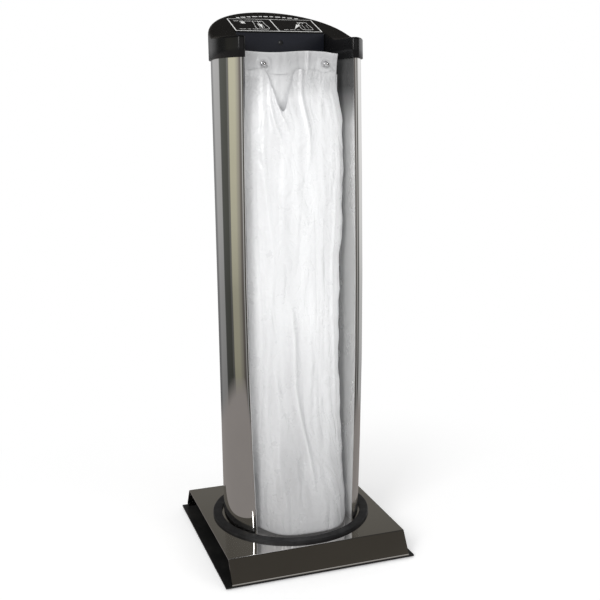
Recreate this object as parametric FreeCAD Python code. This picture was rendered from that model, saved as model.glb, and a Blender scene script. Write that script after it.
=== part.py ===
import FreeCAD, Part
import math
import os

# Free-standing wet-umbrella bag dispenser: a folded steel base, a round steel column with a
# recess down its front, a pack of long film bags hung on two studs, and a sloping black hood.
# Millimetres. The front faces -Y, +X is on the right hand of someone who stands in front of it,
# +Z is up, and the origin is on the floor under the column's centre.

V = FreeCAD.Vector

# ---------------------------------------------------------------- driving sizes
# overall
OVERALL_H = 1000.0
COLUMN_R = 131.2

# base
BASE_H = 47.0
RING_TO_SIDE = 16.8
RING_TO_FRONT = 9.8
SKIRT_RUN = 26.0
COVER_T = 1.2
COVER_BEND_R = 1.2
RETURN_LIP = 16.0
PLATE_T = 3.0
PLATE_PAST_SIDES = 11.0
PLATE_SHORT_OF_SKIRT = 3.0
FOOT_R = 14.0
FOOT_H = 3.0
FOOT_INSET = 26.0
COVER_SCREW_R = 2.0
COVER_SCREW_HEAD_R = 3.8
COVER_SCREW_HEAD_H = 1.6
COVER_SCREW_TO_SIDE = 39.0
RIVET_NUT_R = 3.4
RIVET_NUT_H = 6.0

# ring on the base
RING_GAP = 4.0
RING_WIDTH = 17.0
RING_H = 5.0
RING_EDGE_R = 1.2

# column and recess
SHELL_T = 1.0
FRONT_Y = -86.0
FRONT_LIP = 5.6
LIP_RETURN = 12.0
LIP_SEAM = 0.1
LINER_T = 1.0
LINER_BEND_R = 2.0
LINER_TO_LIP = 0.1
RECESS_BACK_Y = 23.3
RECESS_TAPER = 5.5
COLUMN_TOP_BELOW_ARMS = 4.5
LINER_TAB_W = 80.0
LINER_TAB_H = 12.0

# flange that bolts the column to the base
FLANGE_T = 3.0
FLANGE_TO_LIP = 1.0
FLANGE_TO_LINER = 1.0
FLANGE_BOLT_TO_SHELL = 22.2
FLANGE_BOLT_ANGLES = (-4.2, 54.8)
FLANGE_BOLT_R = 3.0
HEX_PAST_ROD = 2.5
HEX_HEAD_H = 4.0
HEX_NUT_H = 5.0
BOLT_PAST_NUT = 2.0

# hood
HOOD_WALL = 2.5
HOOD_GAP = 0.8
ARM_TOP_DROP = 58.0
HOOD_SKIRT_H = 35.0
ARM_FRONT_GAP = 1.0
DESK_FALL = 43.68
DESK_RIM_R = 10.0
ARM_RIM_R = 2.5
LINER_TO_HOOD = 0.3

# label on the desk
LABEL_T = 0.6
LABEL_TO_RIM = 21.5
LABEL_FRONT_GAP = 1.0
LABEL_SIDE_GAP = 1.5

# front panel and its screw
PANEL_T = 1.5
PANEL_EDGE_GAP = 0.8
PANEL_ABOVE_SKIRT = 2.0
PANEL_TOP_GAP = 2.0
PANEL_SCREW_R = 2.0
PANEL_SCREW_HEAD_R = 4.5
PANEL_SCREW_HEAD_H = 2.6
PANEL_SCREW_BELOW_ARMS = 3.4
CROSS_SLOT_L = 4.4
CROSS_SLOT_W = 0.9
CROSS_SLOT_DEPTH = 1.4

# studs that carry the bags
STUD_BELOW_SKIRT = 10.0
STUD_TO_HEADER_SIDE = 25.0
STUD_R = 3.0
STUD_PAST_PACK = 8.0
DOME_NUT_WALL = 2.0
DOME_NUT_HEX_H = 5.0
DOME_WALL = 1.7
DOME_NUT_BORE = 8.6

# bags
PACK_BEHIND_FRONT = 28.0
PACK_TO_LINER = 5.9
HEADER_TO_LINER = 4.9
BAG_TO_LINER = 7.9
HEADER_ABOVE_STUD = 22.5
HEADER_HOLE_GAP = 1.0
TEAR_BELOW_STUD = 17.0
BELLY_FROM_Z = 330.0
BELLY_AT_KNEE = 9.0
BELLY = 44.0
BAG_FOOT_SPREAD = 6.0
BAG_DEPTH = 26.0
BAG_FILM = 1.0
BAG_BACK_GAP = 1.5
SOFT_GAP = 0.5
BAG_OVER_RING = 1.5

# clearances of fasteners, and how far a cutting tool runs past what it cuts
BORE_GAP = 0.05
HOLE_GAP = 0.2
PAST = 1.0

# ---------------------------------------------------------------- sizes that follow
ring_in_r = COLUMN_R + RING_GAP
ring_out_r = ring_in_r + RING_WIDTH
bag_foot_z = BASE_H + RING_H + BAG_OVER_RING

plate_top_z = FOOT_H + PLATE_T
base_half_w = ring_out_r + RING_TO_SIDE
base_half_d = ring_out_r + RING_TO_FRONT
skirt_foot_y = base_half_d + SKIRT_RUN
plate_half_d = skirt_foot_y - PLATE_SHORT_OF_SKIRT
plate_half_w = base_half_w + PLATE_PAST_SIDES
cover_screw_x = base_half_w - COVER_SCREW_TO_SIDE
flange_bolt_arm = COLUMN_R - SHELL_T - FLANGE_BOLT_TO_SHELL
flange_bolt_hex_r = FLANGE_BOLT_R + HEX_PAST_ROD
stud_hex_r = STUD_R + HEX_PAST_ROD
panel_nut_r = PANEL_SCREW_R + HEX_PAST_ROD

arm_top_z = OVERALL_H - ARM_TOP_DROP
hood_skirt_z = arm_top_z - HOOD_SKIRT_H
panel_foot_z = hood_skirt_z + PANEL_ABOVE_SKIRT
panel_screw_z = arm_top_z - PANEL_SCREW_BELOW_ARMS
column_top_z = arm_top_z - COLUMN_TOP_BELOW_ARMS
stud_z = hood_skirt_z - STUD_BELOW_SKIRT
header_top_z = stud_z + HEADER_ABOVE_STUD
tear_z = stud_z - TEAR_BELOW_STUD

shell_in_r = COLUMN_R - SHELL_T
front_half_w = math.sqrt(COLUMN_R ** 2 - FRONT_Y ** 2)
lip_in_x = front_half_w - FRONT_LIP
liner_front_x = lip_in_x - LINER_T - LINER_TO_LIP
liner_back_x = liner_front_x - RECESS_TAPER
liner_front_y = FRONT_Y + SHELL_T / 2

hood_in_r = COLUMN_R + HOOD_GAP
hood_r = hood_in_r + HOOD_WALL
arm_front_y = FRONT_Y - ARM_FRONT_GAP - HOOD_WALL
hood_back_y = RECESS_BACK_Y - LINER_TO_HOOD
desk_front_y = hood_back_y - HOOD_WALL
desk_half_w = liner_back_x - HOOD_WALL - LINER_TO_HOOD
panel_front_y = desk_front_y - PANEL_T
label_arc_r = hood_r - LABEL_TO_RIM
desk_crest_y = hood_r - DESK_RIM_R
desk_slope = DESK_FALL / (desk_crest_y - desk_front_y)
desk_cos = 1 / math.sqrt(1 + desk_slope ** 2)
desk_crest_z = OVERALL_H + DESK_RIM_R * (1 / desk_cos - 1)

header_half_w = liner_back_x - HEADER_TO_LINER
pack_half_w = liner_back_x - PACK_TO_LINER
bag_half_w = liner_back_x - BAG_TO_LINER
pack_front_y = FRONT_Y + PACK_BEHIND_FRONT
pack_back_y = RECESS_BACK_Y - HEX_NUT_H - SOFT_GAP
stud_x = header_half_w - STUD_TO_HEADER_SIDE
stud_tip_y = pack_front_y - STUD_PAST_PACK
stud_places = (-stud_x, stud_x)
belly_knee_z = (BELLY_FROM_Z + bag_foot_z) / 2
belly_steps = ((bag_foot_z, BELLY), (belly_knee_z, BELLY_AT_KNEE), (BELLY_FROM_Z, 0.0))


def desk_z(y):
    """Height of the sloping desk: the back rim's crest, less the slope times the way forward."""
    return desk_crest_z - desk_slope * (desk_crest_y - y)


def liner_x(y):
    """Half-width of the recess at y: it narrows evenly from the front edges to the back."""
    share = (y - liner_front_y) / (RECESS_BACK_Y - liner_front_y)
    return liner_front_x - RECESS_TAPER * share


# ---------------------------------------------------------------- helpers
def rounded_wire(corners):
    """Closed wire in the XY plane through (x, y, radius) corners, each turned by a tangent arc."""
    count = len(corners)
    starts = []
    ends = []
    mids = []
    for i, (x, y, r) in enumerate(corners):
        here = V(x, y, 0)
        before = V(corners[i - 1][0], corners[i - 1][1], 0) - here
        after = V(corners[(i + 1) % count][0], corners[(i + 1) % count][1], 0) - here
        before.normalize()
        after.normalize()
        if r <= 0:
            starts.append(here)
            ends.append(here)
            mids.append(None)
            continue
        half = before.getAngle(after) / 2
        reach = r / math.tan(half)
        middle = (before + after).normalize()
        centre = here + middle * (r / math.sin(half))
        starts.append(here + before * reach)
        ends.append(here + after * reach)
        mids.append(centre - middle * r)
    edges = []
    for i in range(count):
        if mids[i] is not None:
            edges.append(Part.Arc(starts[i], mids[i], ends[i]).toShape())
        following = starts[(i + 1) % count]
        if ends[i].distanceToPoint(following) > 1e-6:
            edges.append(Part.LineSegment(ends[i], following).toShape())
    return Part.Wire(edges)


def prism(corners, z0, z1):
    """Upright prism on a closed outline of (x, y) or (x, y, radius) corners."""
    full = [(c[0], c[1], c[2] if len(c) > 2 else 0.0) for c in corners]
    face = Part.Face(rounded_wire(full))
    face.translate(V(0, 0, z0))
    return face.extrude(V(0, 0, z1 - z0))


def bent_strip(path, t, bend_r):
    """Corners of a sheet of thickness t: the path, and the path moved t to its left, bends rounded."""
    moved = []
    for i, (x, y) in enumerate(path):
        normals = []
        for a, b in ((i - 1, i), (i, i + 1)):
            if a < 0 or b >= len(path):
                continue
            along = V(path[b][0] - path[a][0], path[b][1] - path[a][1], 0).normalize()
            normals.append(V(-along.y, along.x, 0))
        total = normals[0]
        if len(normals) == 2:
            total = (normals[0] + normals[1]).normalize()
            total = total * (1 / total.dot(normals[0]))
        moved.append((x + total.x * t, y + total.y * t))
    corners = []
    for side, points in ((1, path), (-1, moved[::-1])):
        for i, (x, y) in enumerate(points):
            if i in (0, len(points) - 1):
                corners.append((x, y, 0.0))
                continue
            a = points[i - 1]
            b = points[i + 1]
            turn = (x - a[0]) * (b[1] - y) - (y - a[1]) * (b[0] - x)
            inside = turn < 0
            corners.append((x, y, bend_r if inside else bend_r + t))
    return corners


def on_yz(shape):
    """Turn a shape drawn as (y, z) in the XY plane and extruded up so that it lies along +X."""
    placed = shape.copy()
    placed.rotate(V(0, 0, 0), V(1, 1, 1), 120)
    return placed


def cylinder(r, start, end):
    """Solid rod of radius r from one point to another."""
    along = end - start
    return Part.makeCylinder(r, along.Length, start, along)


def hexagon(r, start, end):
    """Hexagonal rod of corner radius r from one point to another."""
    along = end - start
    corners = [V(r * math.cos(math.pi * k / 3), r * math.sin(math.pi * k / 3), 0) for k in range(6)]
    face = Part.Face(Part.makePolygon(corners + corners[:1]))
    rod = face.extrude(V(0, 0, along.Length))
    rod.Placement = FreeCAD.Placement(start, FreeCAD.Rotation(V(0, 0, 1), along))
    return rod


def cut_all(shape, tools):
    for tool in tools:
        shape = shape.cut(tool)
    return shape


def fuse_all(shapes):
    whole = shapes[0]
    for shape in shapes[1:]:
        whole = whole.fuse(shape)
    return whole.removeSplitter()


def write(name, shapes):
    """Write one node: a single solid, or a group of separate solids."""
    solids = []
    for shape in shapes:
        solids.extend(shape.Solids)
    result = solids[0] if len(solids) == 1 else Part.makeCompound(solids)
    result.exportStep(os.path.join("parts", name + ".step"))
    bad = [s for s in solids if not s.isValid()]
    print(name, len(solids), "solids", round(result.Volume), "mm3", "INVALID" if bad else "")


# ---------------------------------------------------------------- base
cover_screw_places = [
    (k * cover_screw_x, side * (skirt_foot_y - RETURN_LIP / 2 - COVER_T))
    for side in (-1, 1)
    for k in (-1, 0, 1)
]
flange_bolt_places = [
    (side * flange_bolt_arm * math.cos(math.radians(a)), flange_bolt_arm * math.sin(math.radians(a)))
    for a in FLANGE_BOLT_ANGLES
    for side in (-1, 1)
]


def make_base_plate():
    plate = Part.makeBox(2 * plate_half_w, 2 * plate_half_d, PLATE_T,
                         V(-plate_half_w, -plate_half_d, FOOT_H))
    tools = []
    for x, y in cover_screw_places:
        head_top = FOOT_H + COVER_SCREW_HEAD_H + HOLE_GAP
        tools.append(cylinder(COVER_SCREW_R + HOLE_GAP, V(x, y, 0), V(x, y, plate_top_z + PAST)))
        tools.append(cylinder(COVER_SCREW_HEAD_R + HOLE_GAP, V(x, y, 0), V(x, y, head_top)))
    return cut_all(plate, tools)


def make_rubber_feet():
    x = plate_half_w - FOOT_INSET
    y = plate_half_d - FOOT_INSET - RETURN_LIP
    corners = [(i * x, j * y) for i in (-1, 1) for j in (-1, 1)]
    return [cylinder(FOOT_R, V(a, b, 0), V(a, b, FOOT_H)) for a, b in corners]


def make_base_cover():
    top = BASE_H
    foot = plate_top_z
    path = [
        (skirt_foot_y - RETURN_LIP, foot),
        (skirt_foot_y, foot),
        (base_half_d, top),
        (-base_half_d, top),
        (-skirt_foot_y, foot),
        (-skirt_foot_y + RETURN_LIP, foot),
    ]
    strip = prism(bent_strip(path, COVER_T, COVER_BEND_R), 0, 2 * base_half_w)
    cover = on_yz(strip)
    cover.translate(V(-base_half_w, 0, 0))
    tools = []
    for x, y in flange_bolt_places:
        tools.append(cylinder(FLANGE_BOLT_R + HOLE_GAP, V(x, y, top - COVER_T - PAST), V(x, y, top + PAST)))
    for x, y in cover_screw_places:
        tools.append(cylinder(RIVET_NUT_R + HOLE_GAP, V(x, y, foot - PAST), V(x, y, foot + COVER_T + PAST)))
    return cut_all(cover, tools)


def make_cover_screws():
    screws = []
    for x, y in cover_screw_places:
        head = cylinder(COVER_SCREW_HEAD_R, V(x, y, FOOT_H), V(x, y, FOOT_H + COVER_SCREW_HEAD_H))
        shank = cylinder(COVER_SCREW_R, V(x, y, FOOT_H), V(x, y, plate_top_z + RIVET_NUT_H))
        screws.append(fuse_all([head, shank]))
    return screws


def make_rivet_nuts():
    nuts = []
    for x, y in cover_screw_places:
        body = cylinder(RIVET_NUT_R, V(x, y, plate_top_z), V(x, y, plate_top_z + RIVET_NUT_H))
        bore = cylinder(COVER_SCREW_R + BORE_GAP, V(x, y, 0), V(x, y, plate_top_z + RIVET_NUT_H + PAST))
        nuts.append(body.cut(bore))
    return nuts


def make_base_ring():
    low = V(0, 0, BASE_H)
    high = V(0, 0, BASE_H + RING_H)
    ring = cylinder(ring_out_r, low, high).cut(cylinder(ring_in_r, low, high))
    rims = [e for e in ring.Edges if abs(e.BoundBox.ZMin - high.z) < 1e-6 and len(e.Vertexes) == 1]
    return ring.makeFillet(RING_EDGE_R, rims)


# ---------------------------------------------------------------- column
def liner_outline(grow, front_y):
    """Plan of the recess, grown outwards by a margin, out to a given y at the front."""
    return [
        (liner_x(front_y) + grow, front_y),
        (liner_back_x + grow, RECESS_BACK_Y + grow),
        (-liner_back_x - grow, RECESS_BACK_Y + grow),
        (-liner_x(front_y) - grow, front_y),
    ]


def make_column_shell():
    low = V(0, 0, BASE_H)
    high = V(0, 0, column_top_z)
    tube = cylinder(COLUMN_R, low, high).cut(cylinder(shell_in_r, low, high))
    front = Part.makeBox(4 * COLUMN_R, 2 * COLUMN_R, column_top_z,
                         V(-2 * COLUMN_R, FRONT_Y - 2 * COLUMN_R, 0))
    pieces = [tube.cut(front)]
    lip_back = FRONT_Y + SHELL_T
    lip_end = math.sqrt(shell_in_r ** 2 - lip_back ** 2) + LIP_SEAM
    for side in (-1, 1):
        outline = [
            (side * lip_end, FRONT_Y),
            (side * lip_in_x, FRONT_Y),
            (side * lip_in_x, FRONT_Y + LIP_RETURN),
            (side * (lip_in_x + SHELL_T), FRONT_Y + LIP_RETURN),
            (side * (lip_in_x + SHELL_T), lip_back),
            (side * lip_end, lip_back),
        ]
        pieces.append(prism(outline, BASE_H, column_top_z))
    return fuse_all(pieces)


def make_recess_liner():
    path = liner_outline(0.0, liner_front_y)
    liner = prism(bent_strip(path[::-1], LINER_T, LINER_BEND_R), BASE_H, column_top_z)
    tab = Part.makeBox(LINER_TAB_W, LINER_T, LINER_TAB_H + PAST,
                       V(-LINER_TAB_W / 2, RECESS_BACK_Y, column_top_z - PAST))
    liner = fuse_all([liner, tab])
    tools = [panel_screw_rod(PANEL_SCREW_R + HOLE_GAP)]
    for x in stud_places:
        start = V(x, RECESS_BACK_Y - PAST, stud_z)
        tools.append(cylinder(STUD_R + HOLE_GAP, start, V(x, RECESS_BACK_Y + LINER_T + PAST, stud_z)))
    return cut_all(liner, tools)


def make_column_flange():
    low = V(0, 0, BASE_H)
    high = V(0, 0, BASE_H + FLANGE_T)
    disc = cylinder(shell_in_r - HOLE_GAP, low, high)
    front_y = FRONT_Y + LIP_RETURN + FLANGE_TO_LIP
    front = Part.makeBox(4 * COLUMN_R, 2 * COLUMN_R, BASE_H + 2 * FLANGE_T,
                         V(-2 * COLUMN_R, front_y - 2 * COLUMN_R, 0))
    recess = prism(liner_outline(LINER_T + FLANGE_TO_LINER, FRONT_Y), low.z - PAST, high.z + PAST)
    tools = [front, recess]
    for x, y in flange_bolt_places:
        tools.append(cylinder(FLANGE_BOLT_R + HOLE_GAP, V(x, y, low.z - PAST), V(x, y, high.z + PAST)))
    return cut_all(disc, tools)


def make_flange_bolts():
    under = BASE_H - COVER_T
    tip = BASE_H + FLANGE_T + HEX_NUT_H + BOLT_PAST_NUT
    bolts = []
    for x, y in flange_bolt_places:
        head = hexagon(flange_bolt_hex_r, V(x, y, under - HEX_HEAD_H), V(x, y, under))
        shank = cylinder(FLANGE_BOLT_R, V(x, y, under - PAST), V(x, y, tip))
        bolts.append(fuse_all([head, shank]))
    return bolts


def make_flange_nuts():
    foot = BASE_H + FLANGE_T
    nuts = []
    for x, y in flange_bolt_places:
        nut = hexagon(flange_bolt_hex_r, V(x, y, foot), V(x, y, foot + HEX_NUT_H))
        bore = cylinder(FLANGE_BOLT_R + BORE_GAP, V(x, y, foot - PAST), V(x, y, foot + HEX_NUT_H + PAST))
        nuts.append(nut.cut(bore))
    return nuts


# ---------------------------------------------------------------- bag studs
def make_bag_studs():
    behind = RECESS_BACK_Y + LINER_T
    studs = []
    for x in stud_places:
        head = hexagon(stud_hex_r, V(x, behind, stud_z), V(x, behind + HEX_HEAD_H, stud_z))
        shank = cylinder(STUD_R, V(x, behind + PAST, stud_z), V(x, stud_tip_y, stud_z))
        studs.append(fuse_all([head, shank]))
    return studs


def make_stud_lock_nuts():
    nuts = []
    for x in stud_places:
        nut = hexagon(stud_hex_r, V(x, RECESS_BACK_Y, stud_z), V(x, RECESS_BACK_Y - HEX_NUT_H, stud_z))
        bore = cylinder(STUD_R + BORE_GAP, V(x, RECESS_BACK_Y + PAST, stud_z), V(x, pack_back_y, stud_z))
        nuts.append(nut.cut(bore))
    return nuts


def make_dome_nut(x):
    """Cap nut: a hexagon against the pack, a round dome on its front, and a blind bore."""
    dome_r = STUD_R + DOME_WALL
    seat = pack_front_y - HOLE_GAP
    hex_end = seat - DOME_NUT_HEX_H
    neck_end = seat - DOME_NUT_BORE
    body = hexagon(STUD_R + DOME_NUT_WALL, V(x, seat, stud_z), V(x, hex_end, stud_z))
    neck = cylinder(dome_r, V(x, hex_end + PAST, stud_z), V(x, neck_end, stud_z))
    dome = Part.makeSphere(dome_r, V(x, neck_end, stud_z))
    bore = cylinder(STUD_R + BORE_GAP, V(x, seat + PAST, stud_z), V(x, neck_end, stud_z))
    return fuse_all([body, neck, dome]).cut(bore)


# ---------------------------------------------------------------- bags
def make_bag_header():
    foot = tear_z + SOFT_GAP
    hole_r = STUD_R + HEADER_HOLE_GAP
    block = Part.makeBox(2 * header_half_w, pack_back_y - pack_front_y, header_top_z - foot,
                         V(-header_half_w, pack_front_y, foot))
    holes = [
        cylinder(hole_r, V(x, pack_back_y + PAST, stud_z), V(x, pack_front_y - PAST, stud_z))
        for x in stud_places
    ]
    return cut_all(block, holes)


def make_bag_stack():
    return Part.makeBox(2 * pack_half_w, pack_back_y - pack_front_y, tear_z - bag_foot_z,
                        V(-pack_half_w, pack_front_y, bag_foot_z))


def bag_section(z, forward, shrink):
    """D-shaped section of the open bag: straight against the pack, an arc bellied to the front."""
    back = pack_front_y - BAG_BACK_GAP - shrink
    half = bag_half_w + BAG_FOOT_SPREAD * forward / BELLY - 2 * shrink
    depth = BAG_DEPTH + forward - 2 * shrink
    left = V(-half, back, z)
    right = V(half, back, z)
    arc = Part.Arc(right, V(0, back - depth, z), left).toShape()
    line = Part.LineSegment(left, right).toShape()
    return Part.Wire([line, arc])


def bag_sleeve(shrink, top):
    """Solid inside of the open bag, shrunk by a margin: lofted through the belly, upright above."""
    belly = Part.makeLoft([bag_section(z, forward, shrink) for z, forward in belly_steps], True, True)
    upright = Part.Face(bag_section(BELLY_FROM_Z, 0.0, shrink)).extrude(V(0, 0, top - BELLY_FROM_Z))
    return belly.fuse(upright)


def make_front_bag():
    """Open-topped bag: a sleeve less its inside, with the seal across its foot left in."""
    above_seal = Part.makeBox(4 * bag_half_w, 4 * COLUMN_R, OVERALL_H,
                              V(-2 * bag_half_w, -2 * COLUMN_R, bag_foot_z + BAG_FILM))
    inside = bag_sleeve(BAG_FILM, tear_z + PAST).common(above_seal)
    return bag_sleeve(0.0, tear_z).cut(inside).removeSplitter()


# ---------------------------------------------------------------- hood
def recess_notch(grow, past, corner_r):
    """The notch between the hood's arms, its walls a margin outside the notch itself."""
    front_y = arm_front_y - past
    wall = HOOD_WALL + LINER_TO_HOOD
    outline = [
        (liner_x(front_y) - wall + grow, front_y),
        (desk_half_w + grow, desk_front_y + grow, corner_r),
        (-desk_half_w - grow, desk_front_y + grow, corner_r),
        (-liner_x(front_y) + wall - grow, front_y),
    ]
    return prism(outline, 0, 2 * OVERALL_H)


def rounded_rim(block, radius, above_z):
    """Round the one closed edge that lies wholly above a height."""
    rims = [e for e in block.Edges if e.BoundBox.ZMin > above_z and len(e.Vertexes) == 1]
    return block.makeFillet(radius, rims)


def hood_bulk(r, z0, drop, front_y, desk_rim, arm_rim):
    """Round block under the sloping desk, joined to a flat-topped band that makes the arms."""
    far = 4 * COLUMN_R
    desk_floor = z0 - far
    desk = cylinder(r, V(0, 0, desk_floor), V(0, 0, OVERALL_H + far))
    profile = [
        (-far, desk_z(-far) - drop / desk_cos),
        (far, desk_z(far) - drop / desk_cos),
        (far, OVERALL_H + 2 * far),
        (-far, OVERALL_H + 2 * far),
    ]
    above = on_yz(prism(profile, 0, 2 * far))
    above.translate(V(-far, 0, 0))
    desk = rounded_rim(desk.cut(above), desk_rim, desk_floor + PAST)
    below = Part.makeBox(2 * far, 2 * far, far, V(-far, -far, z0 - far))
    desk = desk.cut(below)
    band_top = arm_top_z - drop
    band = cylinder(r, V(0, 0, z0), V(0, 0, band_top))
    if arm_rim > 0:
        band = rounded_rim(band, arm_rim, band_top - PAST)
    block = desk.fuse(band)
    front = Part.makeBox(2 * far, far, OVERALL_H + far, V(-far, front_y - far, 0))
    return block.cut(front)


def make_cap_hood():
    outer = hood_bulk(hood_r, hood_skirt_z, 0.0, arm_front_y, DESK_RIM_R, ARM_RIM_R)
    inner = hood_bulk(hood_in_r, hood_skirt_z - PAST, HOOD_WALL, arm_front_y + HOOD_WALL,
                      DESK_RIM_R - HOOD_WALL, 0.0)
    inner = inner.cut(recess_notch(HOOD_WALL, PAST, LINER_BEND_R))
    hood = outer.cut(inner)
    hood = hood.cut(recess_notch(0.0, PAST, 0.0))
    return hood.cut(panel_screw_rod(PANEL_SCREW_R + HOLE_GAP))


def make_label_plate():
    """Thin D-shaped sheet on the desk: three straight sides and an arc beside the back rim."""
    front = desk_front_y + LABEL_FRONT_GAP
    half = desk_half_w - LABEL_SIDE_GAP
    column = cylinder(label_arc_r, V(0, 0, 0), V(0, 0, 2 * OVERALL_H))
    block = Part.makeBox(2 * half, 2 * label_arc_r, 2 * OVERALL_H, V(-half, front, 0))
    far = 4 * COLUMN_R
    rise = LABEL_T / desk_cos
    profile = [
        (-far, desk_z(-far)),
        (far, desk_z(far)),
        (far, desk_z(far) + rise),
        (-far, desk_z(-far) + rise),
    ]
    slab = on_yz(prism(profile, 0, 2 * far))
    slab.translate(V(-far, 0, 0))
    return slab.common(column).common(block)


def make_front_panel():
    half = desk_half_w - PANEL_EDGE_GAP
    top = desk_z(desk_front_y) - PANEL_TOP_GAP
    panel = Part.makeBox(2 * half, PANEL_T, top - panel_foot_z, V(-half, panel_front_y, panel_foot_z))
    return panel.cut(panel_screw_rod(PANEL_SCREW_R + HOLE_GAP))


def panel_screw_rod(r):
    """Rod along the panel screw's axis, through the panel, the hood and the liner, to its tip."""
    start = V(0, panel_front_y - PAST, panel_screw_z)
    return cylinder(r, start, V(0, RECESS_BACK_Y + LINER_T + HEX_NUT_H + BOLT_PAST_NUT, panel_screw_z))


def make_panel_screw():
    """Cross-slotted screw: its head is the cap of a ball, as high as it is given."""
    crown_y = panel_front_y - PANEL_SCREW_HEAD_H
    ball_r = (PANEL_SCREW_HEAD_R ** 2 + PANEL_SCREW_HEAD_H ** 2) / (2 * PANEL_SCREW_HEAD_H)
    ball = Part.makeSphere(ball_r, V(0, crown_y + ball_r, panel_screw_z))
    seat = V(0, panel_front_y, panel_screw_z)
    head = ball.common(cylinder(PANEL_SCREW_HEAD_R, V(0, crown_y - PAST, panel_screw_z), seat))
    slots = [
        Part.makeBox(a, CROSS_SLOT_DEPTH, b, V(-a / 2, crown_y, panel_screw_z - b / 2))
        for a, b in ((CROSS_SLOT_L, CROSS_SLOT_W), (CROSS_SLOT_W, CROSS_SLOT_L))
    ]
    return cut_all(fuse_all([head, panel_screw_rod(PANEL_SCREW_R)]), slots)


def make_panel_nut():
    start = RECESS_BACK_Y + LINER_T
    nut = hexagon(panel_nut_r, V(0, start, panel_screw_z), V(0, start + HEX_NUT_H, panel_screw_z))
    return nut.cut(panel_screw_rod(PANEL_SCREW_R + BORE_GAP))


# ---------------------------------------------------------------- write every node
os.makedirs("parts", exist_ok=True)
write("base_plate", [make_base_plate()])
write("rubber_feet", make_rubber_feet())
write("base_cover", [make_base_cover()])
write("cover_screws", make_cover_screws())
write("rivet_nuts", make_rivet_nuts())
write("base_ring", [make_base_ring()])
write("column_shell", [make_column_shell()])
write("recess_liner", [make_recess_liner()])
write("column_flange", [make_column_flange()])
write("flange_bolts", make_flange_bolts())
write("flange_nuts", make_flange_nuts())
write("bag_studs", make_bag_studs())
write("stud_lock_nuts", make_stud_lock_nuts())
write("left_dome_nut", [make_dome_nut(-stud_x)])
write("right_dome_nut", [make_dome_nut(stud_x)])
write("bag_header", [make_bag_header()])
write("bag_stack", [make_bag_stack()])
write("front_bag", [make_front_bag()])
write("cap_hood", [make_cap_hood()])
write("label_plate", [make_label_plate()])
write("front_panel", [make_front_panel()])
write("panel_screw", [make_panel_screw()])
write("panel_nut", [make_panel_nut()])
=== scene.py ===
"""Looks of the wet-umbrella bag dispenser: steel column, folded base, black hood, hanging film bags.

Metres, in the part's own frame: the open front faces -Y, +X is on the right of someone in front
of it, +Z is up, and the origin is on the floor under the column's centre.
"""
import math

import bmesh
import bpy
import numpy as np
from mathutils import Matrix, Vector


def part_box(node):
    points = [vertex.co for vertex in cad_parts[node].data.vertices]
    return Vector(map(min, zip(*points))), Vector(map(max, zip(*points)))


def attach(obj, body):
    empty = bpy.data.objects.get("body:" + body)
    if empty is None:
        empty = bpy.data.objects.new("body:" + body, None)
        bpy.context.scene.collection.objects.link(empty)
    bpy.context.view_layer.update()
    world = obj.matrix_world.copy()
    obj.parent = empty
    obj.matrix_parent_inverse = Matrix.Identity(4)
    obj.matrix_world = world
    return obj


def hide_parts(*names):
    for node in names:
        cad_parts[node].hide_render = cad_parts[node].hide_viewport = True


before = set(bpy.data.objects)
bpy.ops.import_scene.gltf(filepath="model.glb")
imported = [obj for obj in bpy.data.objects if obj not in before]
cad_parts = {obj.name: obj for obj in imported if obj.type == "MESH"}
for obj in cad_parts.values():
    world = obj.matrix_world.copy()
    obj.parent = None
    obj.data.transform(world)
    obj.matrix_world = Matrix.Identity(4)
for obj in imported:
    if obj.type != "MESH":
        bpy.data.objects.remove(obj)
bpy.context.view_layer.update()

MM = 0.001
MIRROR = np.array([-1.0, 1.0])


# ---------------------------------------------------------------- places taken from the frame
def node_box(name):
    """Lowest and highest corner of a node, as two arrays."""
    low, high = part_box(name)
    return np.array(low), np.array(high)


column_low, column_high = node_box("column_shell")
liner_high = node_box("recess_liner")[1]
hood_low, hood_high = node_box("cap_hood")
ring_low, ring_high = node_box("base_ring")
panel_low, panel_high = node_box("front_panel")
label_low, label_high = node_box("label_plate")
header_low, header_high = node_box("bag_header")
stack_low, stack_high = node_box("bag_stack")
bag_low, bag_high = node_box("front_bag")
left_nut_low, left_nut_high = node_box("left_dome_nut")
right_nut_low, right_nut_high = node_box("right_dome_nut")

column_r = column_high[1]
front_y = column_low[1]
foot_z = column_low[2]
column_top = column_high[2]
shell_t = 1.0 * MM
front_lip = 5.6 * MM
lip_return = 12.0 * MM
front_half_w = math.sqrt(column_r ** 2 - front_y ** 2)
liner_front_x = liner_high[0] - shell_t
recess_back_y = liner_high[1] - shell_t
recess_taper = 5.5 * MM
hood_r = hood_high[1]
skirt_z = hood_low[2]
arm_height = 35.0 * MM
arm_top = skirt_z + arm_height
hood_front_y = hood_low[1]
desk_front_y = panel_high[1]
hood_wall = 2.5 * MM
hood_to_liner = 0.3 * MM
desk_slope = 0.42
label_front_gap = 1.0 * MM
desk_front_z = label_low[2] - desk_slope * label_front_gap
stud_x = (right_nut_low[0] + right_nut_high[0]) / 2
stud_z = (right_nut_low[2] + right_nut_high[2]) / 2


# ---------------------------------------------------------------- shapes as whole arrays
def smoothstep(t):
    """Rises from 0 to 1 as t goes from 0 to 1, level at both ends: 3 t squared less 2 t cubed."""
    t = np.clip(t, 0.0, 1.0)
    return t * t * (3.0 - 2.0 * t)


def bump(t, centre, width):
    """A rounded hill of height 1 at centre: e to the minus square of the distance over width."""
    return np.exp(-((t - centre) / width) ** 2)


SPREAD_KNOTS_Z = np.array([0.05, 0.20, 0.36, 0.52, 0.70, 0.85, 0.945])
SPREAD_AT_KNOTS = np.array([1.2, 6.0, 9.6, 10.6, 9.4, 7.6, 6.6]) * MM
SPREAD_FROM_Y = 0.020


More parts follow.
